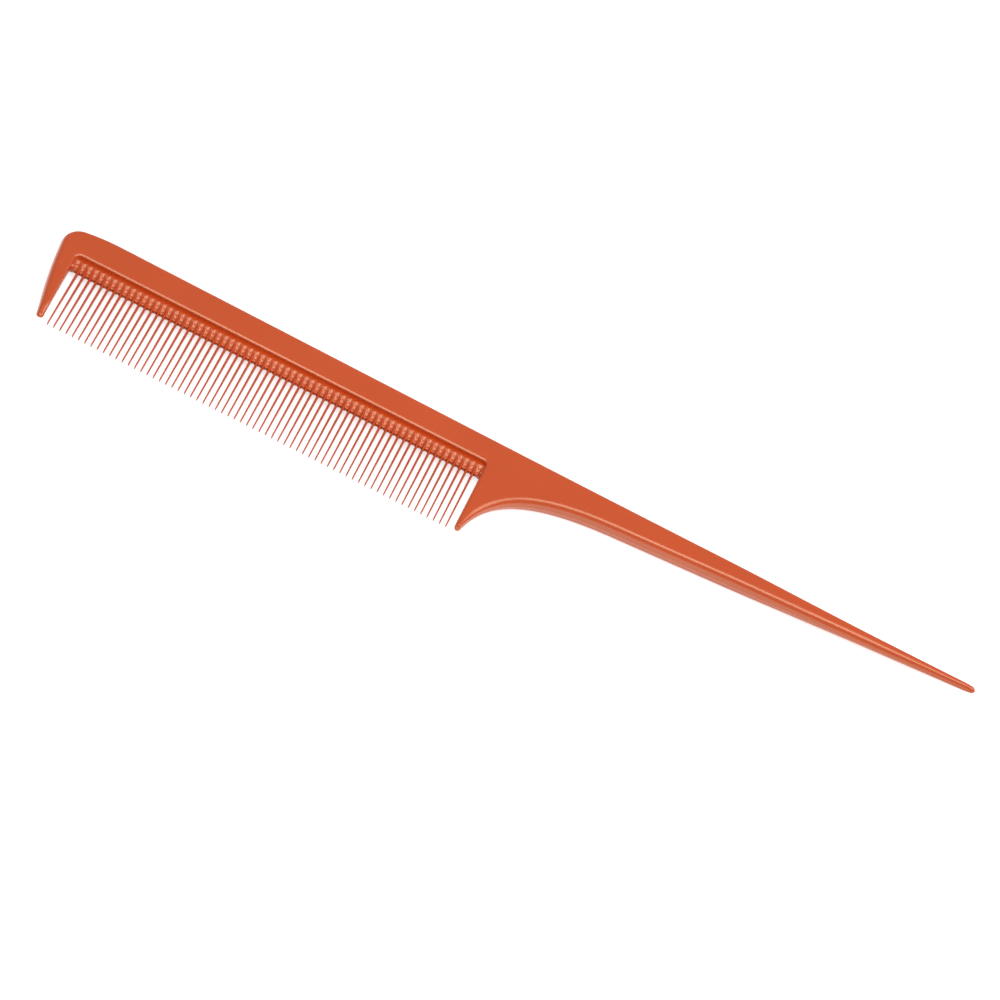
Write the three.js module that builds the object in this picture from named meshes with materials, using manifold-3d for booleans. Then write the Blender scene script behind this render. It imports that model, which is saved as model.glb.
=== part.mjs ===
// A rat tail comb: one plastic moulding with fine teeth and a pointed tail for parting hair.
// Millimetres, +Z up. The comb lies flat, its teeth towards -Y and its tail towards +X.
import * as THREE from "three";
import { mergeVertices } from "three/addons/utils/BufferGeometryUtils.js";
import Module from "manifold-3d";

const wasm = await Module();
wasm.setup();

// The body of the moulding
const bodyThickness = 4;
const edgeRound = 0.5;
const edgeRoundSteps = 3;
const cornerSteps = 6;

// The head, from the front end of its back edge
const spineDepth = 7.55;
const backDrop = 0.88;
const cornerDrop = 1.35;
const cornerRound = 4.2;
const crownReach = 8.4;
const crownRound = 40;
const recessRound = 1.2;
const guardRootDrop = 1.4;

// The recessed bed that carries the fine teeth, and the ramps between them
const bedThickness = 2.4;
const bedStrip = 1.15;
const rampLength = 1.9;
const slotEdge = 0.2;
const rampShares = [[0, 1], [0.27, 0.62], [0.5, 0.5], [1, 0]];

// The fine teeth
const toothCount = 65;
const toothRuns = 5;
const toothPitch = 1.3846;
const toothLength = 15.13;
const toothRootWidth = 0.6;
const toothRootThickness = 2.3;
const toothTipWidth = 0.34;
const toothTipThickness = 1.3;
const toothTipRound = 0.3;
const toothTipSteps = 3;
const toothSides = 8;

// The front guard tooth
const guardWidth = 4.77;
const guardGap = 1.52;
const guardInnerLean = 0.38;
const guardTipWidth = 1.35;
const guardTipRound = 0.62;
const guardTipShort = 0.6;
const guardBellyInset = 1.45;
const guardBellyDrop = 14;
const guardBellyRound = 130;
const guardThinning = 2;

// The heel guard tooth and the throat behind it
const heelGap = 1.3;
const heelInnerLean = 0.06;
const heelTipWidth = 1.26;
const heelTipRound = 0.62;
const heelTipShort = 0.6;
const heelShank = 1.6;
const heelShankLean = 0.47;
const heelPull = 11.3;
const throatLength = 29.26;
const throatPull = 15.4;
const throatSteps = 16;

// The tail
const tailRootDepth = 7.85;
const gripLength = 26.3;
const pointLength = 53.05;
const tailTipWidth = 1.55;
const tailTipDrop = 0.8;
const tailLiftLength = 110;
const tailBendReach = 55.5;
const tailBackSteps = 8;
const tailThinning = 2.25;

// How far a cutting block runs past what it cuts
const overrun = 1;

// Places along the comb
const firstToothX = guardWidth + guardGap + toothRootWidth / 2;
const lastToothX = firstToothX + (toothCount - 1) * toothPitch;
const heelX = lastToothX + toothRootWidth / 2 + heelGap;
const throatX = heelX + throatLength;
const pointX = throatX + gripLength;
const tipX = pointX + pointLength;
const headMiddleX = (firstToothX + lastToothX) / 2;

// Places across the comb and through it
const recessY = -spineDepth;
const rampY = recessY - bedStrip;
const slotY = rampY - rampLength;
const toothTipY = slotY - toothLength;
const guardRootY = recessY - guardRootDrop;
const guardTipY = toothTipY + guardTipShort;
const heelTipY = toothTipY + heelTipShort;
const middleZ = bodyThickness / 2;
const toothRootY = recessY - bedStrip / 2;

// The height of the back edge's straight line at a place along the comb
function backY(x) {
  return -backDrop * (x / heelX);
}

// The outline's corners, before they are rounded
const frontCorner = new THREE.Vector2(0, -cornerDrop);
const crown = new THREE.Vector2(crownReach, backY(crownReach));
const tailLift = new THREE.Vector2(tipX - tailLiftLength, backY(tipX - tailLiftLength));
const tailBend = new THREE.Vector2(tipX - tailBendReach, backY(tipX - tailBendReach));
const tailTipTop = new THREE.Vector2(tipX - tailTipWidth / 2, -tailTipDrop);
const tailTipBottom = new THREE.Vector2(tailTipTop.x, tailTipTop.y - tailTipWidth);
const throatEnd = new THREE.Vector2(throatX, -tailRootDepth);
const recessHeel = new THREE.Vector2(heelX, recessY);
const recessFront = new THREE.Vector2(guardWidth, recessY);
const heelInnerTip = new THREE.Vector2(heelX - heelInnerLean, heelTipY);
const heelOuterTip = new THREE.Vector2(heelInnerTip.x + heelTipWidth, heelTipY);
const heelShankTop = new THREE.Vector2(heelOuterTip.x + heelShankLean, heelTipY + heelShank);
const guardInnerTip = new THREE.Vector2(guardWidth + guardInnerLean, guardTipY);
const guardOuterTip = new THREE.Vector2(guardInnerTip.x - guardTipWidth, guardTipY);
const guardBelly = new THREE.Vector2(guardBellyInset, -guardBellyDrop);

// Adds a rounded corner to an outline. The round is never longer than half of either side.
function addRound(outline, before, corner, after, radius) {
  const toBefore = before.clone().sub(corner);
  const toAfter = after.clone().sub(corner);
  const room = Math.min(toBefore.length(), toAfter.length()) / 2;
  toBefore.normalize();
  toAfter.normalize();
  const halfAngle = Math.acos(toBefore.dot(toAfter)) / 2;
  const reach = Math.min(radius / Math.tan(halfAngle), room);
  const round = reach * Math.tan(halfAngle);
  const middle = toBefore.clone().add(toAfter).normalize();
  const centre = corner.clone().addScaledVector(middle, round / Math.sin(halfAngle));
  const start = corner.clone().addScaledVector(toBefore, reach).sub(centre);
  const turn = Math.PI - 2 * halfAngle;
  const side = -Math.sign(toBefore.cross(toAfter));
  for (let step = 0; step <= cornerSteps; step += 1) {
    const spoke = start.clone().rotateAround(new THREE.Vector2(), side * turn * (step / cornerSteps));
    outline.push(centre.clone().add(spoke));
  }
}

// The two rounded corners of the recess, from the heel to the front
function addRecess(outline) {
  addRound(outline, heelInnerTip, recessHeel, recessFront, recessRound);
  addRound(outline, recessHeel, recessFront, guardInnerTip, recessRound);
}

// The tail's back edge, a gentle curve up from the straight back, and the half round at its tip
function addTailBack(outline) {
  const back = new THREE.QuadraticBezierCurve(tailLift, tailBend, tailTipTop);
  outline.push(...back.getPoints(tailBackSteps));
  const round = tailTipWidth / 2;
  const quarter = Math.PI / 2;
  const tip = new THREE.EllipseCurve(
    tailTipTop.x, tailTipTop.y - round, round, round, quarter, -quarter, true,
  );
  outline.push(...tip.getPoints(2 * cornerSteps).slice(1));
}

// The throat, which sweeps from the tail's lower edge down to the heel
function addThroat(outline) {
  const along = throatEnd.clone().sub(tailTipBottom).normalize();
  const up = heelShankTop.clone().sub(heelOuterTip).normalize();
  const throat = new THREE.CubicBezierCurve(
    throatEnd,
    throatEnd.clone().addScaledVector(along, throatPull),
    heelShankTop.clone().addScaledVector(up, heelPull),
    heelShankTop,
  );
  outline.push(...throat.getPoints(throatSteps));
}

// The outline of the whole frame that holds the fine teeth
function frameShape() {
  const outline = [];
  addRound(outline, recessFront, guardInnerTip, guardOuterTip, guardTipRound);
  addRound(outline, guardInnerTip, guardOuterTip, guardBelly, guardTipRound);
  addRound(outline, guardOuterTip, guardBelly, frontCorner, guardBellyRound);
  addRound(outline, guardBelly, frontCorner, crown, cornerRound);
  addRound(outline, frontCorner, crown, tailLift, crownRound);
  addTailBack(outline);
  addThroat(outline);
  addRound(outline, heelShankTop, heelOuterTip, heelInnerTip, heelTipRound);
  addRound(outline, heelOuterTip, heelInnerTip, recessHeel, heelTipRound);
  addRecess(outline);
  return new THREE.Shape(outline);
}

// A solid that can be cut and joined, made from a closed geometry
function solidOf(geometry) {
  const bare = geometry.clone();
  bare.deleteAttribute("normal");
  bare.deleteAttribute("uv");
  const merged = mergeVertices(bare);
  const triangles = [];
  for (let i = 0; i < merged.index.count; i += 3) {
    const corners = [0, 1, 2].map((k) => merged.index.getX(i + k));
    if (new Set(corners).size === corners.length) {
      triangles.push(...corners);
    }
  }
  return new wasm.Manifold(new wasm.Mesh({
    numProp: 3,
    vertProperties: merged.attributes.position.array,
    triVerts: new Uint32Array(triangles),
  }));
}

// The geometry of a finished solid
function geometryOf(solid) {
  const mesh = solid.getMesh();
  const geometry = new THREE.BufferGeometry();
  geometry.setAttribute("position", new THREE.BufferAttribute(mesh.vertProperties, 3));
  geometry.setIndex(new THREE.BufferAttribute(mesh.triVerts, 1));
  geometry.computeVertexNormals();
  return geometry;
}

// A block between two corners, the full thickness of the comb and more
function block(lowX, highX, lowY, highY) {
  const deep = bodyThickness + 2 * overrun;
  const geometry = new THREE.BoxGeometry(highX - lowX, highY - lowY, deep);
  geometry.translate((lowX + highX) / 2, (lowY + highY) / 2, middleZ);
  return solidOf(geometry);
}

// The frame at full thickness, with its edges rounded
function frameBlank() {
  const geometry = new THREE.ExtrudeGeometry(frameShape(), {
    depth: bodyThickness - 2 * edgeRound,
    bevelThickness: edgeRound,
    bevelSize: edgeRound,
    bevelOffset: -edgeRound,
    bevelSegments: edgeRoundSteps,
  });
  geometry.translate(0, 0, edgeRound);
  return solidOf(geometry);
}

// The thickness of the frame at a point: the guards thin to their tips, and so does the tail
function frameThickness(x, y) {
  const downGuard = Math.max(0, (guardRootY - y) / (guardRootY - guardTipY));
  const alongPoint = Math.max(0, (x - pointX) / pointLength);
  return bodyThickness - guardThinning * downGuard - tailThinning * alongPoint;
}

// Thins a piece of the frame towards its middle plane
function thinned(geometry) {
  const places = geometry.attributes.position;
  for (let i = 0; i < places.count; i += 1) {
    const share = frameThickness(places.getX(i), places.getY(i)) / bodyThickness;
    places.setZ(i, middleZ + (places.getZ(i) - middleZ) * share);
  }
  geometry.computeVertexNormals();
  return geometry;
}

// The web between the teeth: a flat bed, then a ramp from each face to the slot's thin edge
function webProfile() {
  const rise = (bedThickness - slotEdge) / 2;
  const upper = rampShares.map(([along, up]) => (
    new THREE.Vector2(rampY - rampLength * along, middleZ + slotEdge / 2 + rise * up)
  ));
  upper.unshift(new THREE.Vector2(recessY, middleZ + bedThickness / 2));
  const lower = upper.map((point) => new THREE.Vector2(point.x, 2 * middleZ - point.y));
  return new THREE.Shape([...upper, ...lower.reverse()]);
}

// The whole web, which fills the recess between the two guards
function webBlank() {
  const web = new THREE.ExtrudeGeometry(webProfile(), {
    depth: heelX + overrun,
    bevelEnabled: false,
  });
  const alongX = new THREE.Matrix4().makeBasis(
    new THREE.Vector3(0, 1, 0),
    new THREE.Vector3(0, 0, 1),
    new THREE.Vector3(1, 0, 0),
  );
  web.applyMatrix4(alongX);
  const outline = [heelInnerTip];
  addRecess(outline);
  outline.push(guardInnerTip);
  const window = new THREE.ExtrudeGeometry(new THREE.Shape(outline), {
    depth: bodyThickness,
    bevelEnabled: false,
  });
  return solidOf(web).intersect(solidOf(window));
}

// One fine tooth, tapering from its root in the bed to its rounded tip
function tooth(x) {
  const length = toothRootY - toothTipY;
  const profile = [];
  for (let step = 0; step <= toothTipSteps; step += 1) {
    const angle = (Math.PI / 2) * (step / toothTipSteps);
    profile.push(new THREE.Vector2(Math.sin(angle), toothTipRound * (1 - Math.cos(angle))));
  }
  profile.push(new THREE.Vector2(1, length));
  profile.push(new THREE.Vector2(0, length));
  const geometry = new THREE.LatheGeometry(profile, toothSides);
  const places = geometry.attributes.position;
  for (let i = 0; i < places.count; i += 1) {
    const up = places.getY(i) / length;
    const width = THREE.MathUtils.lerp(toothTipWidth, toothRootWidth, up);
    const thickness = THREE.MathUtils.lerp(toothTipThickness, toothRootThickness, up);
    places.setX(i, places.getX(i) * (width / 2));
    places.setZ(i, places.getZ(i) * (thickness / 2));
  }
  geometry.translate(x, toothTipY, middleZ);
  return solidOf(geometry);
}

// A run of fine teeth with its slice of the web
function toothRun(web, run) {
  const share = toothCount / toothRuns;
  const first = Math.round(run * share);
  const past = Math.round((run + 1) * share);
  const lowX = run === 0 ? 0 : firstToothX + (first - 1 / 2) * toothPitch;
  const highX = run === toothRuns - 1 ? heelX + overrun : firstToothX + (past - 1 / 2) * toothPitch;
  let solid = web.intersect(block(lowX, highX, toothTipY, 0));
  for (let i = first; i < past; i += 1) {
    solid = solid.add(tooth(firstToothX + i * toothPitch));
  }
  return geometryOf(solid);
}

// A named piece in the comb's own glossy plastic
function piece(name, geometry) {
  const plastic = new THREE.MeshStandardMaterial({ color: "#cd5a35", roughness: 0.3, metalness: 0 });
  const mesh = new THREE.Mesh(geometry, plastic);
  mesh.name = name;
  return mesh;
}

const comb = new THREE.Group();

const frame = frameBlank();
const frontX = -overrun;
const backTopY = overrun;
const regions = {
  spine: block(frontX, heelX, guardRootY, backTopY),
  shoulder: block(heelX, throatX, guardRootY, backTopY),
  front_guard_tooth: block(frontX, headMiddleX, toothTipY, guardRootY),
  heel_guard_tooth: block(headMiddleX, throatX, toothTipY, guardRootY),
  tail_grip: block(throatX, pointX, toothTipY, backTopY),
  tail_point: block(pointX, tipX + overrun, toothTipY, backTopY),
};
for (const [name, region] of Object.entries(regions)) {
  comb.add(piece(name, thinned(geometryOf(frame.intersect(region)))));
}

const web = webBlank();
for (let run = 0; run < toothRuns; run += 1) {
  comb.add(piece(`fine_teeth_${run + 1}`, toothRun(web, run)));
}

// The origin is under the middle of the comb, on the face that it lies on
const reach = new THREE.Box3().setFromObject(comb);
const centre = reach.getCenter(new THREE.Vector3());
comb.position.set(-centre.x, -centre.y, 0);

export default comb;
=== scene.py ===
import math

import bmesh
import bpy
import numpy as np
from mathutils import Matrix, Vector
from mathutils.geometry import delaunay_2d_cdt


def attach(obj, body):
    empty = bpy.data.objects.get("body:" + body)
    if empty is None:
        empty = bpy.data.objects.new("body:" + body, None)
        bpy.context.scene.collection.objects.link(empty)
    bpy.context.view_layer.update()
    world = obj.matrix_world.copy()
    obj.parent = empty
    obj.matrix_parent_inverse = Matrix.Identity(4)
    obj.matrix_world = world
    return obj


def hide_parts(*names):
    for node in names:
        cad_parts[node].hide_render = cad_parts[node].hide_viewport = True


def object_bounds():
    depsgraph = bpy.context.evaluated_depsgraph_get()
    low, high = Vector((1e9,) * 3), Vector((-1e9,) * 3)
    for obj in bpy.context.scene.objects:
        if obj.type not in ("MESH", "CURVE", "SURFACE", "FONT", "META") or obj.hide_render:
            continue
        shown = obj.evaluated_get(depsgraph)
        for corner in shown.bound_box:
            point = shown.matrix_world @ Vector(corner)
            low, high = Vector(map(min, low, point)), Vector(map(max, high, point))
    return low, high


# A rat tail comb: one glossy moulding, with fine teeth and a pointed tail for parting hair.
# It is drawn in two pieces: the frame, with its spine, guard teeth, shoulder and tail, and the row
# of fine teeth. The comb lies flat, its teeth towards -Y and its tail towards +X.
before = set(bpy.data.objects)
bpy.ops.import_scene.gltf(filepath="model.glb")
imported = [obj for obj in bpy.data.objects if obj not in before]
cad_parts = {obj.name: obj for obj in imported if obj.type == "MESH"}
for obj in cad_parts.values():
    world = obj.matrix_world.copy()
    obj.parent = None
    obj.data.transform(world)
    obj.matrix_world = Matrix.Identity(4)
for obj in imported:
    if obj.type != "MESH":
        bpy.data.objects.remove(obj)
cad_low, cad_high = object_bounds()

# Sizes below are in millimetres, in the comb's own plan: x from the virtual front line,
# y from the front end of the straight back edge, and z from the face that the comb lies on.
MM = 0.001

# The body of the moulding
BODY_THICKNESS = cad_high.z / MM
MIDDLE_Z = BODY_THICKNESS / 2

# The round of the outer edges
EDGE_ROUND = 1.25
# The recess's edge, from its wall in to the flat face: inset, and depth below the face
RECESS_EDGE = (
    (0, 0.42), (0.015, 0.31), (0.05, 0.235), (0.12, 0.18), (0.2, 0.135), (0.3, 0.085),
    (0.4, 0.043), (0.5, 0.014), (0.62, 0),
)
EDGE_ROUND_STEPS = len(RECESS_EDGE) - 1
# The guards' inner edges change from the round to the recess's edge over this length
EDGE_CHANGE = 3
# How far round the recess an edge still counts as the recess's own
RECESS_MARGIN = 0.1

# The sides lean in by the draft, above and below a fine ridge along the parting line
DRAFT = 0.05
PARTING_RIDGE = 0.03
PARTING_RIDGE_HEIGHT = 0.06

# How the edge gives way where the outline is narrow. As shares of the room inside the outline:
# the most for the whole edge, the most for the ridge and for the draft, the least for the round.
ROOM_SHARE = 0.9
RIDGE_ROOM_SHARE = 0.125
LEAST_ROUND_SHARE = 0.25
# The round's height as a share of half of the thickness: the most, and in a narrow tip
TALLEST_ROUND_SHARE = 0.85
TIP_ROUND_SHARE = 0.9
# The room at which a narrow tip begins, and how much less makes it wholly one
TIP_ROOM = 1.6
TIP_ROOM_CHANGE = 1.0
# A narrow flat ring inside the edge keeps the shading of the flat face flat
SUPPORT_STEP = 0.08
SUPPORT_ROOM = SUPPORT_STEP / 4
LEAST_SUPPORT_STEP = 0.002

# The head's outline
SPINE_DEPTH = 7.55
BACK_DROP = 0.88
CORNER_DROP = 1.35
CORNER_ROUND = 4.2
CROWN_REACH = 8.4
CROWN_ROUND = 40
RECESS_FRONT_ROUND = 1.2
RECESS_HEEL_ROUND = 0.9
GUARD_ROOT_DROP = 1.4

# The recessed bed and the scoops between the teeth
BED_THICKNESS = 2.4
BED_STRIP = 1.15
RAMP_LENGTH = 1.9
# How far the teeth's crests, and the scoops' floors, lie below the bed at the recess's wall
TROUGH_DEPTH = 0.16
SCOOP_WALL_DEPTH = 0.18
# Beside each guard tooth: the round of the bed's corner, and the length of the stub's lip
END_ROUND = 0.14
STUB_LIP = 0.9
# The scoop's floor: distance behind the slot's end, and half of the thickness there.
# It rises in two steps to a crest, and falls again into a trough along the recess's wall.
SCOOP_PROFILE = (
    (0, 0), (0.02, 0.16), (0.05, 0.27), (0.1, 0.37), (0.17, 0.45), (0.25, 0.5), (0.35, 0.525),
    (0.6, 0.555), (0.75, 0.595), (0.9, 0.65), (1.05, 0.708), (1.2, 0.762), (1.35, 0.81),
    (1.5, 0.85), (1.65, 0.885), (1.8, 0.95), (1.95, 1.03), (2.1, 1.11), (2.2, 1.155),
    (2.3, 1.185), (2.38, 1.195), (2.5, 1.185), (2.65, 1.15), (2.85, 1.085),
    (BED_STRIP + RAMP_LENGTH, BED_THICKNESS / 2 - SCOOP_WALL_DEPTH),
)
# A higher power leaves a sharper valley where a scoop meets a tooth's flank
SCOOP_BLEND_POWER = 9

# The fine teeth
TOOTH_COUNT = 65
TOOTH_PITCH = 1.3846
TOOTH_LENGTH = 15.12
TOOTH_ROOT_WIDTH = 0.6
TOOTH_ROOT_THICKNESS = 2.36
TOOTH_TIP_WIDTH = 0.34
TOOTH_TIP_THICKNESS = 1.3
TOOTH_TIP_ROUND = 0.34
TOOTH_SECTION_POWER = 2.3
SLOT_ROUND = 0.3

# The front guard tooth
GUARD_WIDTH = 4.77
GUARD_GAP = 1.52
GUARD_INNER_LEAN = 0.38
GUARD_TIP_WIDTH = 1.35
GUARD_TIP_ROUND = 0.62
GUARD_TIP_SHORT = 0.6
GUARD_BELLY_INSET = 1.45
GUARD_BELLY_DROP = 14
GUARD_BELLY_ROUND = 130
GUARD_THINNING = 2

# The heel guard tooth and the throat behind it
HEEL_GAP = 1.3
HEEL_INNER_LEAN = 0.06
HEEL_TIP_WIDTH = 1.26
HEEL_TIP_ROUND = 0.62
HEEL_TIP_SHORT = 0.6
HEEL_SHANK = 1.6
HEEL_SHANK_LEAN = 0.47
HEEL_PULL = 11.3
THROAT_LENGTH = 29.26
THROAT_PULL = 15.4

# The tail
TAIL_ROOT_DEPTH = 7.85
GRIP_LENGTH = 26.3
POINT_LENGTH = 53.02
TAIL_TIP_WIDTH = 1.55
TAIL_TIP_DROP = 0.8
TAIL_LIFT_LENGTH = 110
TAIL_BEND_REACH = 55.5
TAIL_THINNING = 2.25

# The rounded noses of the front guard tooth and of the tail
GUARD_NOSE_LENGTH = 3.6
GUARD_NOSE_SHARE = 0.7
GUARD_NOSE_POWER = 1.3
TAIL_NOSE_LENGTH = 2.6
TAIL_NOSE_SHARE = 0.85
# The part of a ramp's length over which it starts softly
SOFT_START_SHARE = 0.12

# How fine the meshes are
CURVE_STEPS = 96
ARC_STEPS = 20
LONGEST_EDGE = 1.0
SHORTEST_EDGE = 0.0001
CAP_GRID = 1.3
# The flat face's grid points keep this share of the grid's step from its rim
CAP_MARGIN_SHARE = 0.45
# Where the cell's columns stand over the bed: distances from the middle of the tooth
CELL_COLUMNS = (0, 0.1, 0.18, 0.235, 0.268, 0.3, 0.36, 0.5, TOOTH_PITCH / 2)
TIP_ROWS = 5
SHAFT_ROWS = 5
SLOT_END_ROWS = 5
SCOOP_ROWS = 24
SCOOP_ROW_POWER = 1.1
END_COLUMNS = 14
# How far the bed runs into the frame round it
OVERLAP = 0.25

# Distances under which points are one and the same
WELD = 0.002
SAME_POINT = 0.0005
FILL_PRECISION = 1e-7
# The fill's kind of result: only the triangles inside the outline
FILL_INSIDE = 1
# What a depth or a width is kept above before it divides
LEAST_DEPTH = 1e-6
LEAST_WIDTH = 1e-9

# The plastic's colour, which drifts between two close shades
PLASTIC_DEEP = (0.55, 0.055, 0.004)
PLASTIC_PALE = (0.59, 0.063, 0.005)
DRIFT_SCALE = 45
DRIFT_DETAIL = 3

# Its gloss, and the rub marks along the comb that change it
PLASTIC_IOR = 1.6
SPECULAR_LEVEL = 0.8
SPECULAR_TINT = (1, 0.93, 0.68)
ROUGHNESS_RANGE = (0.22, 0.28)
RUB_SCALE = 260
RUB_DETAIL = 4
RUB_STRETCH = (0.15, 1, 1)
# The part of a noise's range that is spread over the whole of its effect
NOISE_RANGE = (0.3, 0.7)

# The moulding ripple and the finest scratches
BUMP_DETAIL = 2
RIPPLE_SCALE = 420
RIPPLE_STRENGTH = 0.3
RIPPLE_HEIGHT = 0.012
SCRATCH_SCALE = 2600
SCRATCH_STRETCH = (0.04, 1, 1)
SCRATCH_STRENGTH = 0.2
SCRATCH_HEIGHT = 0.004

# The studio, in metres and watts
FLOOR_SIDE = 6
FLOOR_DROP = 0.00002
FLOOR_SHADE = 0.85
FLOOR_LIFT = 0.72
ROOM_SHADE = 0.5
OVERHEAD_PLACE = (0.02, -0.12, 0.6)
OVERHEAD_SIZE = (0.46, 0.34)
OVERHEAD_POWER = 1.72
SIDE_PLACE = (0.47, 0.13, 0.6)
SIDE_SIZE = (0.46, 0.5)
SIDE_POWER = 1.8

# The camera: angles in degrees, places in millimetres from the part's origin
CAMERA_TURN = -0.496
CAMERA_TILT = 40
CAMERA_ROLL = 27.326
CAMERA_DISTANCE = 1039.87
CAMERA_TARGET = (-0.403, -0.344, 2)
CAMERA_CLIP_START = 10
FOCAL_PIXELS = 5200
IMAGE_SIDE = 1000
SENSOR = 36

# Places along the comb and across it
FIRST_TOOTH_X = GUARD_WIDTH + GUARD_GAP + TOOTH_ROOT_WIDTH / 2
LAST_TOOTH_X = FIRST_TOOTH_X + (TOOTH_COUNT - 1) * TOOTH_PITCH
HEEL_X = LAST_TOOTH_X + TOOTH_ROOT_WIDTH / 2 + HEEL_GAP
THROAT_X = HEEL_X + THROAT_LENGTH
POINT_X = THROAT_X + GRIP_LENGTH
TIP_X = POINT_X + POINT_LENGTH
RECESS_Y = -SPINE_DEPTH
SLOT_Y = RECESS_Y - BED_STRIP - RAMP_LENGTH
TOOTH_TIP_Y = SLOT_Y - TOOTH_LENGTH
GUARD_ROOT_Y = RECESS_Y - GUARD_ROOT_DROP
GUARD_TIP_Y = TOOTH_TIP_Y + GUARD_TIP_SHORT
HEEL_TIP_Y = TOOTH_TIP_Y + HEEL_TIP_SHORT


def smooth_step(t):
    """0 to 1 with level ends, for numbers or arrays."""
    t = np.clip(t, 0, 1)
    return t * t * (3 - 2 * t)


def back_y(x):
    """The height of the back edge's straight line at a place along the comb."""
    return -BACK_DROP * (x / HEEL_X)


def rounded(before, corner, after, radius):
    """The points of a rounded corner, no longer than half of either side."""
    to_before, to_after = before - corner, after - corner
    room = min(to_before.length, to_after.length) / 2
    to_before.normalize()
    to_after.normalize()
    half_angle = to_before.angle(to_after) / 2
    reach = min(radius / math.tan(half_angle), room)
    arc_radius = reach * math.tan(half_angle)
    middle = (to_before + to_after).normalized()
    centre = corner + middle * (arc_radius / math.sin(half_angle))
    spoke = corner + to_before * reach - centre
    turn = math.pi - 2 * half_angle
    cross = to_before.x * to_after.y - to_before.y * to_after.x
    side = -math.copysign(1, cross)
    points = []
    for step in range(ARC_STEPS + 1):
        angle = side * turn * step / ARC_STEPS
        c, s = math.cos(angle), math.sin(angle)
        points.append(centre + Vector((spoke.x * c - spoke.y * s, spoke.x * s + spoke.y * c)))
    return points


def bezier(points, steps):
    """Points along a Bezier curve of any degree."""
    curve = []
    for step in range(steps + 1):
        t = step / steps
        row = list(points)
        while len(row) > 1:
            row = [a.lerp(b, t) for a, b in zip(row, row[1:])]
        curve.append(row[0])
    return curve


def frame_outline():
    """The outline of the frame round the fine teeth, counterclockwise, as an array of points."""
    front_corner = Vector((0, -CORNER_DROP))
    crown = Vector((CROWN_REACH, back_y(CROWN_REACH)))
    tail_lift = Vector((TIP_X - TAIL_LIFT_LENGTH, back_y(TIP_X - TAIL_LIFT_LENGTH)))
    tail_bend = Vector((TIP_X - TAIL_BEND_REACH, back_y(TIP_X - TAIL_BEND_REACH)))
    tip_round = TAIL_TIP_WIDTH / 2
    tip_top = Vector((TIP_X - tip_round, -TAIL_TIP_DROP))
    tip_bottom = Vector((tip_top.x, tip_top.y - TAIL_TIP_WIDTH))
    throat_end = Vector((THROAT_X, -TAIL_ROOT_DEPTH))
    recess_heel = Vector((HEEL_X, RECESS_Y))
    recess_front = Vector((GUARD_WIDTH, RECESS_Y))
    heel_inner = Vector((HEEL_X - HEEL_INNER_LEAN, HEEL_TIP_Y))
    heel_outer = Vector((heel_inner.x + HEEL_TIP_WIDTH, HEEL_TIP_Y))
    shank_top = Vector((heel_outer.x + HEEL_SHANK_LEAN, HEEL_TIP_Y + HEEL_SHANK))
    guard_inner = Vector((GUARD_WIDTH + GUARD_INNER_LEAN, GUARD_TIP_Y))
    guard_outer = Vector((guard_inner.x - GUARD_TIP_WIDTH, GUARD_TIP_Y))
    belly = Vector((GUARD_BELLY_INSET, -GUARD_BELLY_DROP))

    outline = []
    outline += rounded(recess_front, guard_inner, guard_outer, GUARD_TIP_ROUND)
    outline += rounded(guard_inner, guard_outer, belly, GUARD_TIP_ROUND)
    outline += rounded(guard_outer, belly, front_corner, GUARD_BELLY_ROUND)
    outline += rounded(belly, front_corner, crown, CORNER_ROUND)
    outline += rounded(front_corner, crown, tail_lift, CROWN_ROUND)
    outline += bezier([tail_lift, tail_bend, tip_top], CURVE_STEPS)
    for step in range(1, 2 * ARC_STEPS + 1):
        angle = math.pi / 2 - math.pi * step / (2 * ARC_STEPS)
        around = Vector((math.cos(angle), math.sin(angle)))
        outline.append(Vector((tip_top.x, tip_top.y - tip_round)) + around * tip_round)
    along = (throat_end - tip_bottom).normalized()
    up = (shank_top - heel_outer).normalized()
    throat = [throat_end, throat_end + along * THROAT_PULL, shank_top + up * HEEL_PULL, shank_top]
    outline += bezier(throat, CURVE_STEPS)
    outline += rounded(shank_top, heel_outer, heel_inner, HEEL_TIP_ROUND)
    outline += rounded(heel_outer, heel_inner, recess_heel, HEEL_TIP_ROUND)
    outline += rounded(heel_inner, recess_heel, recess_front, RECESS_HEEL_ROUND)
    outline += rounded(recess_heel, recess_front, guard_inner, RECESS_FRONT_ROUND)
    outline.reverse()

    points = []
    for here, there in zip(outline, outline[1:] + outline[:1]):
        gap = (there - here).length
        if gap < SHORTEST_EDGE:
            continue
        parts = max(1, math.ceil(gap / LONGEST_EDGE))
        points += [here.lerp(there, part / parts) for part in range(parts)]
    return np.array([tuple(p) for p in points])


def half_height(x, y):
    """Half of the frame's thickness: the guards and the tail thin smoothly towards their tips."""
    def soft_ramp(t):
        start = SOFT_START_SHARE
        return np.where(t < -start, 0, np.where(t > start, t, (t + start) ** 2 / (4 * start)))

    down_guard = soft_ramp((GUARD_ROOT_Y - y) / (GUARD_ROOT_Y - GUARD_TIP_Y))
    along_point = soft_ramp((x - POINT_X) / POINT_LENGTH)
    thickness = BODY_THICKNESS - GUARD_THINNING * down_guard - TAIL_THINNING * along_point
    at_guard_tip = soft_ramp(1 - (y - GUARD_TIP_Y) / GUARD_NOSE_LENGTH) * (x < FIRST_TOOTH_X)
    at_tail_tip = np.clip(1 - (TIP_X - x) / TAIL_NOSE_LENGTH, 0, 1)
    guard_nose = 1 - GUARD_NOSE_SHARE * at_guard_tip ** GUARD_NOSE_POWER
    tail_nose = np.sqrt(1 - TAIL_NOSE_SHARE * at_tail_tip ** 2)
    return thickness / 2 * guard_nose * tail_nose


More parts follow.
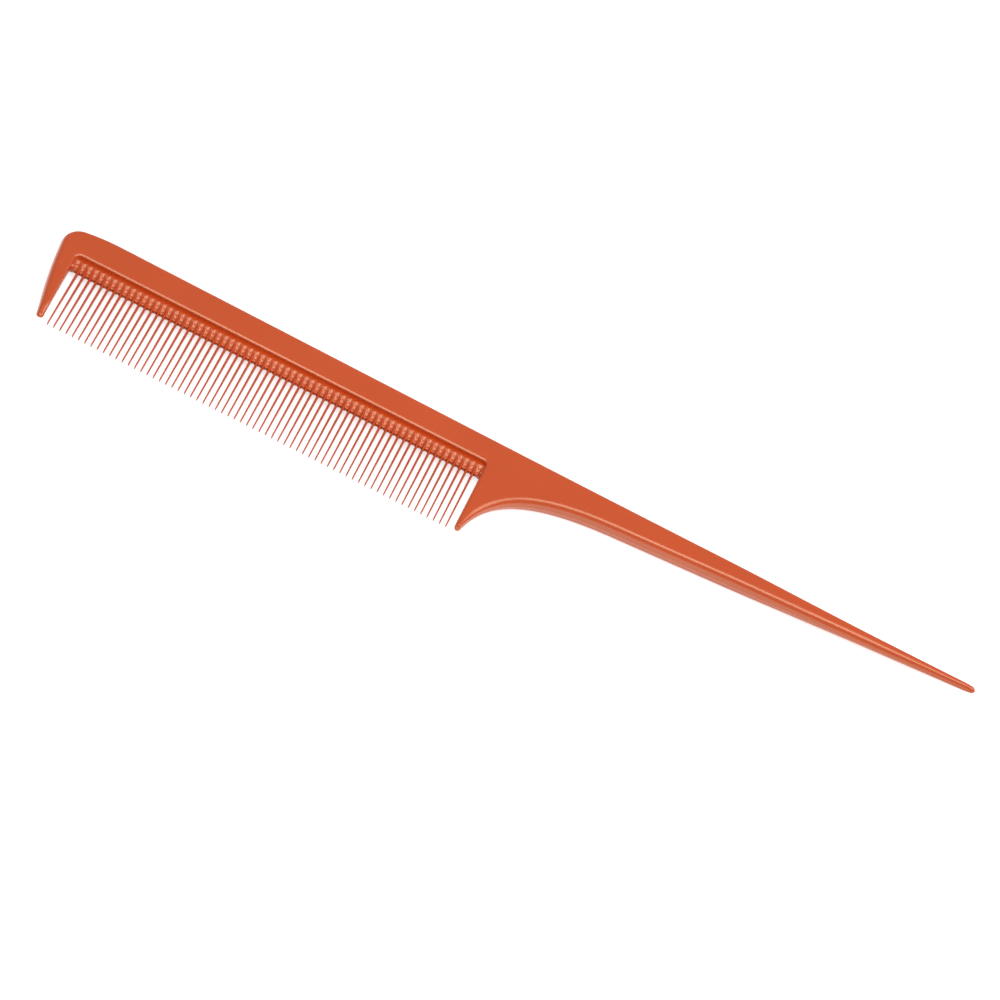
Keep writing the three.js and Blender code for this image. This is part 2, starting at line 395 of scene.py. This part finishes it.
def inward_normals(points):
    """Unit normals that point into a counterclockwise outline."""
    tangent = np.roll(points, -1, 0) - np.roll(points, 1, 0)
    tangent /= np.linalg.norm(tangent, axis=1)[:, None]
    return np.stack([-tangent[:, 1], tangent[:, 0]], 1)


def room_inside(points, normals):
    """For each point, the radius of the largest circle that touches it inside the outline."""
    apart = points[None, :, :] - points[:, None, :]
    depth = np.einsum("ijk,ik->ij", apart, normals)
    squared = (apart ** 2).sum(2)
    with np.errstate(divide="ignore", invalid="ignore"):
        radius = np.where(depth > LEAST_DEPTH, squared / (2 * depth), np.inf)
    return radius.min(1)


def in_metres(points):
    """Points of the comb's plan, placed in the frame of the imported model."""
    points = np.asarray(points, float)
    return [((x + ORIGIN[0]) * MM, (y + ORIGIN[1]) * MM, z * MM) for x, y, z in points]


def close_mesh(mesh, same_point=0):
    """Turns a mesh's faces outwards and shades them smooth, its double points joined if asked."""
    work = bmesh.new()
    work.from_mesh(mesh)
    if same_point:
        bmesh.ops.remove_doubles(work, verts=work.verts, dist=same_point)
    bmesh.ops.recalc_face_normals(work, faces=work.faces)
    work.to_mesh(mesh)
    work.free()
    mesh.polygons.foreach_set("use_smooth", [True] * len(mesh.polygons))


def in_scene(name, data):
    """An object with the given data, in the scene."""
    made = bpy.data.objects.new(name, data)
    bpy.context.scene.collection.objects.link(made)
    return made


def new_object(name, points, faces):
    """A closed mesh object made from points in the comb's plan."""
    mesh = bpy.data.meshes.new(name)
    mesh.from_pydata(in_metres(points), [], faces)
    close_mesh(mesh, SAME_POINT * MM)
    return in_scene(name, mesh)


def recess_share(x, y):
    """1 on the recess's edge and on the guards' inner edges, 0 elsewhere and at the tips."""
    along = GUARD_WIDTH - RECESS_MARGIN < x < HEEL_X + RECESS_MARGIN
    if not (along and y < RECESS_Y + RECESS_MARGIN):
        return 0
    return float(smooth_step((y - GUARD_TIP_Y) / EDGE_CHANGE))


def side_profile(room, half, inner):
    """The rings from the parting line up to the flat face, as pairs of inset and height."""
    ridge = min(PARTING_RIDGE, room * RIDGE_ROOM_SHARE)
    draft = min(DRAFT, room * RIDGE_ROOM_SHARE)
    side = ridge + draft
    tall = min(EDGE_ROUND, half * TALLEST_ROUND_SHARE)
    widest = max(room * ROOM_SHARE - side - SUPPORT_ROOM, room * LEAST_ROUND_SHARE)
    wide = min(EDGE_ROUND, widest)
    narrowing = min(1, widest / RECESS_EDGE[-1][0])
    tip = smooth_step((TIP_ROOM - room) / TIP_ROOM_CHANGE)
    tall = tall + (TIP_ROUND_SHARE * half - tall) * tip
    rings = [(0, 0), (ridge, PARTING_RIDGE_HEIGHT)]
    for step, (recess_in, recess_down) in enumerate(RECESS_EDGE):
        angle = math.pi / 2 * step / EDGE_ROUND_STEPS
        inset = wide * (1 - math.cos(angle)) * (1 - inner) + recess_in * narrowing * inner
        down = tall * (1 - math.sin(angle)) * (1 - inner) + recess_down * inner
        rings.append((side + inset, half - down))
    flat = rings[-1][0]
    support = min(SUPPORT_STEP, max(room * ROOM_SHARE - flat, LEAST_SUPPORT_STEP))
    rings.append((flat + support, half))
    return rings


def make_frame(outline):
    """The frame: spine, shoulder, both guard teeth and the tail, with rounded edges."""
    normals = inward_normals(outline)
    room = room_inside(outline, normals)
    count = len(outline)
    halves = [float(half_height(*place)) for place in outline]
    profiles = [
        side_profile(float(room[i]), halves[i], recess_share(*outline[i])) for i in range(count)
    ]
    points, faces = [], []
    for side in (1, -1):
        rings = []
        for k in range(len(profiles[0])):
            ring = []
            for i in range(count):
                inset, up = profiles[i][k]
                x, y = outline[i] + normals[i] * inset
                up *= float(half_height(x, y)) / halves[i]
                ring.append(len(points))
                points.append((x, y, MIDDLE_Z + side * up))
            rings.append(ring)
        for low, high in zip(rings, rings[1:]):
            for i in range(count):
                j = (i + 1) % count
                faces.append((low[i], low[j], high[j], high[i]))
        flat_points, triangles = fill([Vector(points[v][:2]) for v in rings[-1]])
        first = len(points)
        for x, y in flat_points[count:]:
            points.append((x, y, MIDDLE_Z + side * float(half_height(x, y))))
        place = rings[-1] + list(range(first, len(points)))
        faces += [tuple(place[v] for v in triangle) for triangle in triangles]
    return new_object("comb_frame", points, faces)


def fill(loop):
    """Fills a closed outline with even triangles. Its own points come first in the result."""
    ring = np.array([tuple(p) for p in loop])
    low, high = ring.min(0), ring.max(0)
    xs = np.arange(low[0] + CAP_GRID, high[0], CAP_GRID)
    ys = np.arange(low[1] + CAP_GRID / 2, high[1], CAP_GRID)
    grid = np.array([(x + (k % 2) * CAP_GRID / 2, y) for k, y in enumerate(ys) for x in xs])
    near = np.array([np.hypot(*(ring - p).T).min() for p in grid])
    grid = grid[near > CAP_GRID * CAP_MARGIN_SHARE]
    there = np.roll(ring, -1, 0)
    run, rise = (there - ring).T
    inside = []
    for x, y in grid:
        over = (ring[:, 1] > y) != (there[:, 1] > y)
        with np.errstate(divide="ignore", invalid="ignore"):
            cross_x = ring[:, 0] + (y - ring[:, 1]) * run / rise
        inside.append(bool((over & (x < cross_x)).sum() % 2))
    verts = list(loop) + [Vector(p) for p in grid[inside]]
    face = list(range(len(loop)))
    _, _, filled, sources, _, _ = delaunay_2d_cdt(
        verts, [], [face], FILL_INSIDE, FILL_PRECISION,
    )
    source = [found[0] if found else None for found in sources]
    triangles = [tuple(source[v] for v in triangle) for triangle in filled]
    triangles = [t for t in triangles if None not in t and len(set(t)) == 3]
    return [tuple(v) for v in verts], triangles


def scoop_height(behind):
    """Half of the web's thickness at a distance behind the slot's end, on a smooth curve."""
    places, heights = np.array(SCOOP_PROFILE).T
    slopes = np.diff(heights) / np.diff(places)
    before, after = slopes[:-1], slopes[1:]
    bends = np.where(before * after > 0, 2 * before * after / (before + after), 0)
    tangents = np.concatenate([[slopes[0]], bends, [slopes[-1]]])
    behind = min(max(behind, 0), places[-1])
    k = min(int(np.searchsorted(places, behind, "right")) - 1, len(slopes) - 1)
    length = places[k + 1] - places[k]
    t = (behind - places[k]) / length
    return float(
        heights[k] * (1 + 2 * t) * (1 - t) ** 2 + heights[k + 1] * t * t * (3 - 2 * t)
        + length * t * (1 - t) * (tangents[k] * (1 - t) - tangents[k + 1] * t)
    )


def tooth_section(y):
    """A fine tooth's half width and half thickness at a place along it."""
    root_y = RECESS_Y - BED_STRIP / 2
    up = min(max((y - TOOTH_TIP_Y) / (root_y - TOOTH_TIP_Y), 0), 1)
    width = TOOTH_TIP_WIDTH + (TOOTH_ROOT_WIDTH - TOOTH_TIP_WIDTH) * up
    thickness = TOOTH_TIP_THICKNESS + (TOOTH_ROOT_THICKNESS - TOOTH_TIP_THICKNESS) * up
    back = min((y - TOOTH_TIP_Y) / TOOTH_TIP_ROUND, 1)
    nose = math.sqrt(max(1 - (1 - back) ** 2, 0))
    sink = TROUGH_DEPTH * float(smooth_step((y - root_y) / (RECESS_Y - root_y)))
    return width / 2 * nose, thickness / 2 * nose - sink


def web_height(across, y, end_y, ridge_share=1):
    """Half of the tooth row's thickness, at a distance across from the middle of a tooth."""
    half_width, half_thickness = tooth_section(y)
    share = min(abs(across) / max(half_width, LEAST_WIDTH), 1)
    ridge = half_thickness * (1 - share ** TOOTH_SECTION_POWER) ** (1 / TOOTH_SECTION_POWER)
    behind = y - end_y
    if behind <= 0:
        return ridge
    bed = BED_THICKNESS / 2
    ridge_depth = max(bed - ridge * ridge_share, LEAST_DEPTH)
    floor_depth = max(bed - scoop_height(behind), LEAST_DEPTH)
    power = SCOOP_BLEND_POWER
    depth = (ridge_depth ** -power + floor_depth ** -power) ** (-1 / power)
    return bed - depth


def bed_places():
    """Places of the rows behind the slots' ends, a little closer together at the lip."""
    length = RECESS_Y - SLOT_Y
    shares = [(row / SCOOP_ROWS) ** SCOOP_ROW_POWER for row in range(SCOOP_ROWS + 1)]
    return [SLOT_Y + length * share for share in shares] + [RECESS_Y + OVERLAP]


def tooth_rows():
    """Rows across a tooth's cell from the tip: the crest's y, then the cell edge's x and y."""
    rows = []
    half_pitch = TOOTH_PITCH / 2
    for row in range(TIP_ROWS):
        angle = math.pi / 2 * row / TIP_ROWS
        y = TOOTH_TIP_Y + TOOTH_TIP_ROUND * (1 - math.cos(angle))
        rows.append((y, tooth_section(y)[0], y))
    shaft_low = TOOTH_TIP_Y + TOOTH_TIP_ROUND
    shaft_high = SLOT_Y - SLOT_ROUND
    for row in range(SHAFT_ROWS):
        y = shaft_low + (shaft_high - shaft_low) * row / SHAFT_ROWS
        rows.append((y, tooth_section(y)[0], y))
    for row in range(SLOT_END_ROWS):
        share = row / SLOT_END_ROWS
        angle = math.pi / 2 * share
        side = half_pitch - tooth_section(shaft_high)[0]
        edge_x = half_pitch - side * math.cos(angle)
        edge_y = shaft_high + SLOT_ROUND * math.sin(angle)
        rows.append((shaft_high + SLOT_ROUND * share, edge_x, edge_y))
    rows += [(y, half_pitch, y) for y in bed_places()]
    return rows


def slot_end_y(across):
    """Where the slot ends, at a distance from the middle of a tooth."""
    side = TOOTH_PITCH / 2 - tooth_section(SLOT_Y - SLOT_ROUND)[0]
    off_middle = min(max((TOOTH_PITCH / 2 - abs(across)) / side, 0), 1)
    return SLOT_Y - SLOT_ROUND * (1 - math.sqrt(1 - off_middle ** 2))


def grid_faces(rows, columns, first, flip):
    """The four-sided faces of a grid of points."""
    faces = []
    for row in range(rows - 1):
        for column in range(columns - 1):
            a = first + row * columns + column
            face = (a, a + 1, a + columns + 1, a + columns)
            faces.append(face[::-1] if flip else face)
    return faces


def two_sided(name, upper_rows, last_column_wall=False):
    """A body from rows of (x, y, half height): both faces and the wall along the last row.

    The last column gets a wall too where it is asked for. At the other sides the faces meet.
    """
    rows, columns = len(upper_rows), len(upper_rows[0])
    points, faces = [], []
    for side in (1, -1):
        first = len(points)
        points += [(x, y, MIDDLE_Z + side * up) for row in upper_rows for x, y, up in row]
        faces += grid_faces(rows, columns, first, side < 0)
    half = rows * columns
    for a in range(half - columns, half - 1):
        faces.append((a, a + 1, a + 1 + half, a + half))
    if last_column_wall:
        for a in range(columns - 1, half - columns, columns):
            faces.append((a, a + columns, a + columns + half, a + half))
    return new_object(name, points, faces)


def make_tooth_cell():
    """One fine tooth with its share of the scooped bed, from slot centre to slot centre."""
    upper = []
    half_pitch = TOOTH_PITCH / 2
    last = len(CELL_COLUMNS) - 1
    for crest_y, edge_x, edge_y in tooth_rows():
        half_width = min(tooth_section(crest_y)[0], edge_x)
        bed_share = (edge_x - half_width) / max(half_pitch - half_width, LEAST_WIDTH)
        line = []
        for column in range(-last, last + 1):
            step = abs(column)
            round_x = edge_x * math.sin(math.pi / 2 * step / last)
            beyond = max(CELL_COLUMNS[step] - half_width, 0)
            bed_x = min(CELL_COLUMNS[step], half_width) + beyond * bed_share
            across = round_x + (bed_x - round_x) * bed_share
            y = crest_y + (edge_y - crest_y) * (across / max(edge_x, LEAST_WIDTH)) ** 2
            if step == last and (edge_x < half_pitch or crest_y <= SLOT_Y):
                up = 0
            else:
                up = web_height(across, y, slot_end_y(across))
            line.append((math.copysign(across, column) + FIRST_TOOTH_X, y, up))
        upper.append(line)
    return two_sided("tooth_cell", upper)


def make_end_bed(name, tooth_x, wall_x, wall_lean):
    """The bed between an outer fine tooth and the guard beside it: half a scoop, and a stub."""
    toward = math.copysign(1, wall_x - tooth_x)
    half_pitch = TOOTH_PITCH / 2
    gap = abs(wall_x - tooth_x) - half_pitch
    steps = [gap * k / END_COLUMNS for k in range(END_COLUMNS + 1)] + [gap + OVERLAP]
    top_y = bed_places()[-1]
    upper = []
    for row, row_y in enumerate(bed_places()):
        line = []
        for step in steps:
            left = min(max((step - gap + END_ROUND) / END_ROUND, 0), 1)
            end_y = SLOT_Y - END_ROUND * (1 - math.sqrt(1 - left ** 2))
            y = end_y + (row_y - SLOT_Y) * (top_y - end_y) / (top_y - SLOT_Y)
            down = (RECESS_Y - y) / (RECESS_Y - GUARD_TIP_Y)
            lean = wall_lean * down * min(step / gap, 1)
            lip = min((y - end_y) / STUB_LIP, 1)
            stub = math.sqrt(1 - (1 - lip) ** 2)
            up = web_height(max(half_pitch - step, 0), y, end_y, stub) if row > 0 else 0
            line.append((tooth_x + toward * (half_pitch + step - lean), y, up))
        upper.append(line)
    return two_sided(name, upper, last_column_wall=True)


def tooth_row_nodes():
    """Geometry nodes that repeat a tooth along a line and weld the row to its two end beds."""
    group = bpy.data.node_groups.new("tooth_row", "GeometryNodeTree")
    for label, kind in (
        ("End beds", "Geometry"), ("Tooth", "Object"), ("Tooth count", "Int"),
        ("Pitch", "Float"), ("Weld distance", "Float"), ("Plastic", "Material"),
    ):
        group.interface.new_socket(label, in_out="INPUT", socket_type="NodeSocket" + kind)
    group.interface.new_socket("Tooth row", in_out="OUTPUT", socket_type="NodeSocketGeometry")
    nodes = group.nodes
    given = nodes.new("NodeGroupInput")
    offset = nodes.new("ShaderNodeCombineXYZ")
    line = nodes.new("GeometryNodeMeshLine")
    tooth = nodes.new("GeometryNodeObjectInfo")
    spread = nodes.new("GeometryNodeInstanceOnPoints")
    join = nodes.new("GeometryNodeJoinGeometry")
    realize = nodes.new("GeometryNodeRealizeInstances")
    weld = nodes.new("GeometryNodeMergeByDistance")
    paint = nodes.new("GeometryNodeSetMaterial")
    result = nodes.new("NodeGroupOutput")
    line.mode = "OFFSET"
    for source, output, target, entry in (
        (given, "Pitch", offset, "X"),
        (given, "Tooth count", line, "Count"),
        (offset, "Vector", line, "Offset"),
        (given, "Tooth", tooth, "Object"),
        (line, "Mesh", spread, "Points"),
        (tooth, "Geometry", spread, "Instance"),
        (given, "End beds", join, "Geometry"),
        (spread, "Instances", join, "Geometry"),
        (join, "Geometry", realize, "Geometry"),
        (realize, "Geometry", weld, "Geometry"),
        (given, "Weld distance", weld, "Distance"),
        (weld, "Geometry", paint, "Geometry"),
        (given, "Plastic", paint, "Material"),
        (paint, "Geometry", result, "Tooth row"),
    ):
        group.links.new(source.outputs[output], target.inputs[entry])
    return group


def set_inputs(modifier, values):
    """Sets geometry nodes inputs by the identifiers of their sockets."""
    for item in modifier.node_group.interface.items_tree:
        if item.item_type == "SOCKET" and item.in_out == "INPUT" and item.name in values:
            modifier[item.identifier] = values[item.name]


def make_tooth_row(plastic):
    """The fine teeth, their scooped bed and the two end beds, as one plain mesh."""
    cell = make_tooth_cell()
    front = make_end_bed("front_bed", FIRST_TOOTH_X, GUARD_WIDTH, GUARD_INNER_LEAN)
    heel = make_end_bed("heel_bed", LAST_TOOTH_X, HEEL_X, HEEL_INNER_LEAN)
    work = bmesh.new()
    work.from_mesh(front.data)
    work.from_mesh(heel.data)
    work.to_mesh(front.data)
    work.free()
    modifier = front.modifiers.new("tooth_row", "NODES")
    modifier.node_group = tooth_row_nodes()
    set_inputs(modifier, {
        "Tooth": cell,
        "Tooth count": TOOTH_COUNT,
        "Pitch": TOOTH_PITCH * MM,
        "Weld distance": WELD * MM,
        "Plastic": plastic,
    })
    bpy.context.view_layer.update()
    evaluated = front.evaluated_get(bpy.context.evaluated_depsgraph_get())
    mesh = bpy.data.meshes.new_from_object(evaluated)
    mesh.name = "fine_teeth"
    for scaffold in (front, heel, cell):
        bpy.data.objects.remove(scaffold)
    close_mesh(mesh)
    return in_scene("fine_teeth", mesh)


def comb_plastic():
    """Glossy orange-red moulded plastic, with faint colour drift, moulding ripple and rub marks."""
    material = bpy.data.materials.new("comb_plastic")
    material.use_nodes = True
    nodes, links = material.node_tree.nodes, material.node_tree.links
    nodes.clear()
    place = nodes.new("ShaderNodeTexCoord")
    output = nodes.new("ShaderNodeOutputMaterial")
    shader = nodes.new("ShaderNodeBsdfPrincipled")
    shader.inputs["IOR"].default_value = PLASTIC_IOR
    shader.inputs["Specular IOR Level"].default_value = SPECULAR_LEVEL
    shader.inputs["Metallic"].default_value = 0
    shader.inputs["Specular Tint"].default_value = (*SPECULAR_TINT, 1)
    links.new(shader.outputs["BSDF"], output.inputs["Surface"])

    def noise(scale, detail, stretch=(1, 1, 1)):
        mapping = nodes.new("ShaderNodeMapping")
        mapping.inputs["Scale"].default_value = stretch
        texture = nodes.new("ShaderNodeTexNoise")
        texture.inputs["Scale"].default_value = scale
        texture.inputs["Detail"].default_value = detail
        links.new(place.outputs["Object"], mapping.inputs["Vector"])
        links.new(mapping.outputs["Vector"], texture.inputs["Vector"])
        return texture.outputs["Fac"]

    def spread(value, low, high):
        node = nodes.new("ShaderNodeMapRange")
        node.inputs["From Min"].default_value = NOISE_RANGE[0]
        node.inputs["From Max"].default_value = NOISE_RANGE[1]
        node.inputs["To Min"].default_value = low
        node.inputs["To Max"].default_value = high
        links.new(value, node.inputs["Value"])
        return node.outputs["Result"]

    def bump(height, strength, distance):
        node = nodes.new("ShaderNodeBump")
        node.inputs["Strength"].default_value = strength
        node.inputs["Distance"].default_value = distance * MM
        links.new(height, node.inputs["Height"])
        return node

    tint = nodes.new("ShaderNodeMix")
    tint.data_type = "RGBA"
    tint.inputs["A"].default_value = (*PLASTIC_DEEP, 1)
    tint.inputs["B"].default_value = (*PLASTIC_PALE, 1)
    links.new(spread(noise(DRIFT_SCALE, DRIFT_DETAIL), 0, 1), tint.inputs["Factor"])
    links.new(tint.outputs["Result"], shader.inputs["Base Color"])
    rub = noise(RUB_SCALE, RUB_DETAIL, RUB_STRETCH)
    links.new(spread(rub, *ROUGHNESS_RANGE), shader.inputs["Roughness"])
    ripple = bump(noise(RIPPLE_SCALE, BUMP_DETAIL), RIPPLE_STRENGTH, RIPPLE_HEIGHT)
    scratches = bump(
        noise(SCRATCH_SCALE, BUMP_DETAIL, SCRATCH_STRETCH), SCRATCH_STRENGTH, SCRATCH_HEIGHT,
    )
    links.new(ripple.outputs["Normal"], scratches.inputs["Normal"])
    links.new(scratches.outputs["Normal"], shader.inputs["Normal"])
    return material


def light_path_share(nodes, links):
    """1 for rays that show the floor itself: from the camera, or by reflection or glass."""
    path = nodes.new("ShaderNodeLightPath")
    total = path.outputs["Is Camera Ray"]
    for label in ("Is Glossy Ray", "Is Transmission Ray"):
        either = nodes.new("ShaderNodeMath")
        either.operation = "MAXIMUM"
        links.new(total, either.inputs[0])
        links.new(path.outputs[label], either.inputs[1])
        total = either.outputs["Value"]
    return total


def make_floor():
    """A wide white floor that keeps the comb's soft shadow."""
    half = FLOOR_SIDE / 2
    mesh = bpy.data.meshes.new("floor")
    corners = [(-half, -half), (half, -half), (half, half), (-half, half)]
    mesh.from_pydata([(x, y, -FLOOR_DROP) for x, y in corners], [], [(0, 1, 2, 3)])
    material = bpy.data.materials.new("white_floor")
    material.use_nodes = True
    nodes, links = material.node_tree.nodes, material.node_tree.links
    nodes.clear()
    matt = nodes.new("ShaderNodeBsdfDiffuse")
    matt.inputs["Color"].default_value = (FLOOR_SHADE, FLOOR_SHADE, FLOOR_SHADE, 1)
    lift = nodes.new("ShaderNodeEmission")
    amount = nodes.new("ShaderNodeMath")
    amount.operation = "MULTIPLY"
    amount.inputs[1].default_value = FLOOR_LIFT
    links.new(light_path_share(nodes, links), amount.inputs[0])
    links.new(amount.outputs["Value"], lift.inputs["Strength"])
    both = nodes.new("ShaderNodeAddShader")
    links.new(matt.outputs["BSDF"], both.inputs[0])
    links.new(lift.outputs["Emission"], both.inputs[1])
    output = nodes.new("ShaderNodeOutputMaterial")
    links.new(both.outputs["Shader"], output.inputs["Surface"])
    mesh.materials.append(material)
    floor = in_scene("floor", mesh)


def make_studio():
    """A grey room with two soft lights, one overhead and one on the tail's side."""
    world = bpy.data.worlds.new("studio")
    bpy.context.scene.world = world
    world.use_nodes = True
    nodes, links = world.node_tree.nodes, world.node_tree.links
    nodes.clear()
    room = nodes.new("ShaderNodeBackground")
    room.inputs["Color"].default_value = (ROOM_SHADE, ROOM_SHADE, ROOM_SHADE, 1)
    output = nodes.new("ShaderNodeOutputWorld")
    links.new(room.outputs["Background"], output.inputs["Surface"])
    make_softbox("overhead_softbox", OVERHEAD_PLACE, OVERHEAD_SIZE, OVERHEAD_POWER)
    make_softbox("side_softbox", SIDE_PLACE, SIDE_SIZE, SIDE_POWER)


def make_softbox(name, place, size, power):
    """A rectangular soft light that faces the comb."""
    lamp = bpy.data.lights.new(name, "AREA")
    lamp.shape = "RECTANGLE"
    lamp.size, lamp.size_y = size
    lamp.energy = power
    softbox = in_scene(name, lamp)
    softbox.location = place
    softbox.rotation_euler = Vector(place).to_track_quat("Z", "Y").to_euler()


def make_camera():
    """The camera, tilted from straight above, turned round the comb and rolled about its axis."""
    turn, tilt, roll = (math.radians(a) for a in (CAMERA_TURN, CAMERA_TILT, CAMERA_ROLL))
    away = Vector((
        math.sin(turn) * math.sin(tilt), -math.cos(turn) * math.sin(tilt), math.cos(tilt),
    ))
    right = Vector((math.cos(turn), math.sin(turn), 0))
    up = away.cross(right)
    image_right = right * math.cos(roll) + up * math.sin(roll)
    image_up = up * math.cos(roll) - right * math.sin(roll)
    data = bpy.data.cameras.new("camera")
    data.sensor_width = SENSOR
    data.lens = FOCAL_PIXELS / IMAGE_SIDE * SENSOR
    data.clip_start = CAMERA_CLIP_START * MM
    camera = in_scene("camera", data)
    rotation = Matrix((image_right, image_up, away)).transposed()
    place = Vector(CAMERA_TARGET) * MM + away * CAMERA_DISTANCE * MM
    camera.matrix_world = Matrix.Translation(place) @ rotation.to_4x4()
    bpy.context.scene.camera = camera


outline = frame_outline()
# Where the plan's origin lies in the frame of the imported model
ORIGIN = (cad_low.x / MM - outline[:, 0].min(), cad_high.y / MM - outline[:, 1].max())
plastic = comb_plastic()
comb_frame = make_frame(outline)
comb_frame.data.materials.append(plastic)
fine_teeth = make_tooth_row(plastic)
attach(comb_frame, "root")
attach(fine_teeth, "root")
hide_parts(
    "spine", "shoulder", "front_guard_tooth", "heel_guard_tooth", "tail_grip",
    "tail_point",
)
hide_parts(*[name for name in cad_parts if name.startswith("fine_teeth")])

make_floor()
make_studio()
make_camera()
bpy.context.scene.view_settings.view_transform = "Standard"
